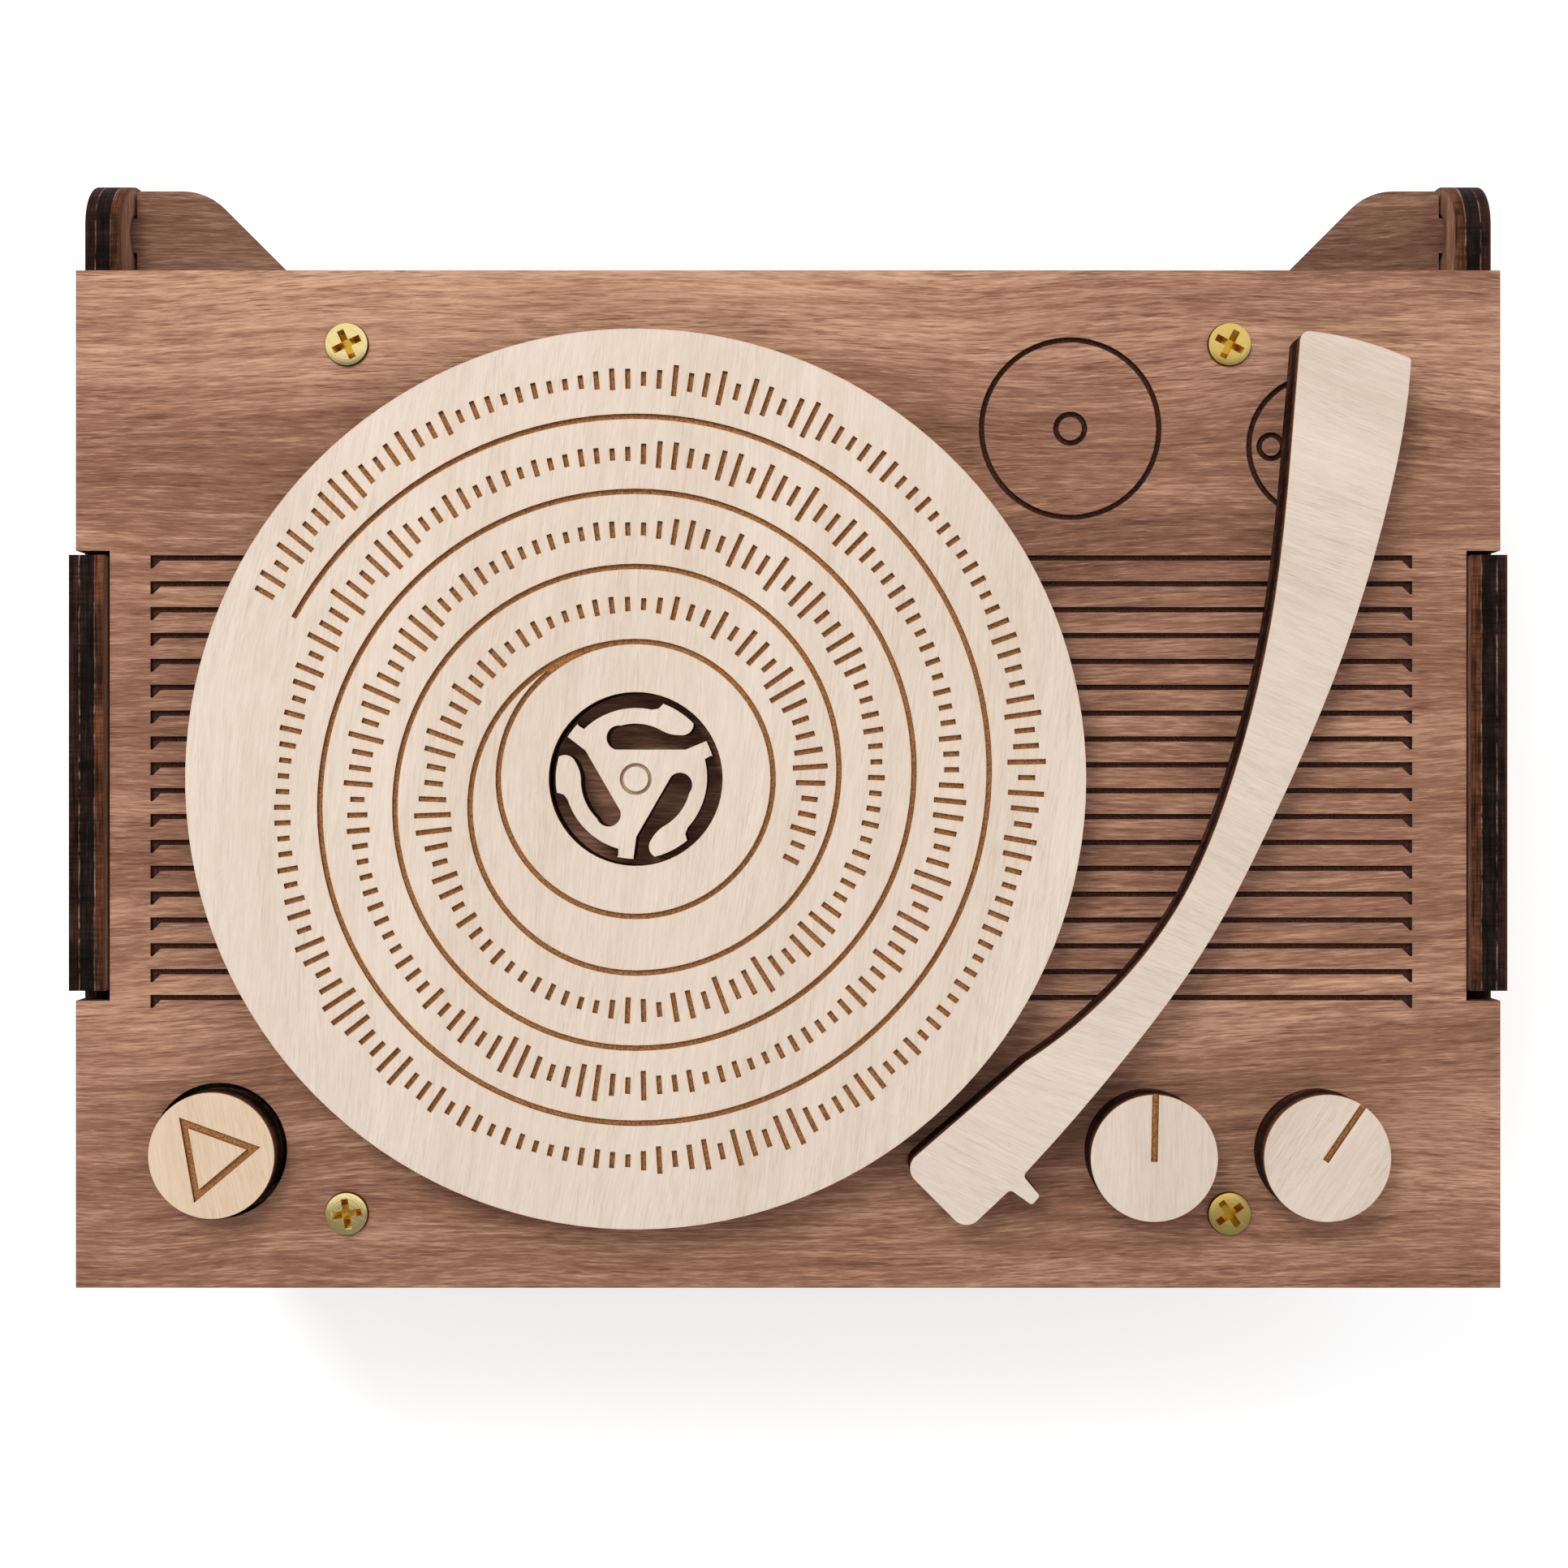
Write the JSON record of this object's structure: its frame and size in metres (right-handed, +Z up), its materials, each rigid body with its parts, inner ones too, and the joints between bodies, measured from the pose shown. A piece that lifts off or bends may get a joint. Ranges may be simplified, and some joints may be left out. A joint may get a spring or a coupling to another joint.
{
  "type": "disc music box",
  "caption": "Laser-cut plywood sound box dressed as a record player: hinged lid with record, tonearm, knobs and a play button over a hollow box.",
  "frame": {"origin": "under the middle of the whole object, on the face it rests on", "axes": "+Z up, +X along the width to the right, the controls and front panel face -Y, the hinge is at +Y"},
  "size_m": [0.127, 0.0998, 0.0413],
  "materials": {
    "walnut_ply": "stained basswood ply, satin, laser-cut edges charred dark",
    "basswood_ply": "bare basswood ply, satin, laser-cut edges charred dark",
    "brass": "bright brass-plated screw",
    "zinc_steel": "zinc-plated steel",
    "green_board": "glass-epoxy circuit board with green mask",
    "black_plastic": "moulded black plastic",
    "cell_foil": "laminated foil pouch",
    "speaker_film": "thin formed film",
    "red_lead": "PVC-insulated lead",
    "magnet_metal": "nickel-plated magnet"
  },
  "bodies": {
    "base": {"bottom_panel": "walnut_ply", "front_panel": "walnut_ply", "back_panel": "walnut_ply", "left_side_panel": "walnut_ply", "right_side_panel": "walnut_ply"},
    "lid": {"deck": "walnut_ply", "hinge_panel": "walnut_ply", "front_rail": "walnut_ply", "back_rail": "walnut_ply", "left_rail": "walnut_ply", "right_rail": "walnut_ply", "record_hub": "basswood_ply", "lid_screws": "brass", "sound_board": "green_board", "sound_chip": "black_plastic", "button_switch": "black_plastic", "pouch_cell": "cell_foil", "speaker_shell": "black_plastic", "speaker_cone": "speaker_film", "speaker_magnet": "magnet_metal", "cell_leads": "red_lead", "speaker_leads": "red_lead"},
    "record": {"record": "basswood_ply"},
    "tonearm": {"tonearm": "basswood_ply", "tonearm_screw": "zinc_steel"},
    "left_knob": {"left_knob": "basswood_ply", "left_knob_screw": "zinc_steel"},
    "right_knob": {"right_knob": "basswood_ply", "right_knob_screw": "zinc_steel"},
    "play_button": {"play_button": "basswood_ply", "switch_plunger": "black_plastic"}
  },
  "joints": [
    {"name": "lid_hinge", "type": "hinge", "parent": "base", "child": "lid", "pos_m": [0, 0.04517, 0.03], "axis": [-1, 0, 0], "range_deg": [0, 120]},
    {"name": "record_spin", "type": "hinge", "parent": "lid", "child": "record", "pos_m": [-0.0132, -0.00492, 0.03805], "axis": [0, 0, 1], "continuous": true},
    {"name": "tonearm_swing", "type": "hinge", "parent": "lid", "child": "tonearm", "pos_m": [0.047, 0.02448, 0.03805], "axis": [0, 0, 1], "range_deg": [-0.95, 1.45]},
    {"name": "left_knob_turn", "type": "hinge", "parent": "lid", "child": "left_knob", "pos_m": [0.0317, -0.03778, 0.03805], "axis": [0, 0, 1], "range_deg": [-150, 150]},
    {"name": "right_knob_turn", "type": "hinge", "parent": "lid", "child": "right_knob", "pos_m": [0.0467, -0.03778, 0.03805], "axis": [0, 0, 1], "range_deg": [-115, 185]},
    {"name": "button_press", "type": "slide", "parent": "lid", "child": "play_button", "axis": [0, 0, -1], "range_m": [0, 0.0008], "stiffness_N_per_m": 1500}
  ]
}
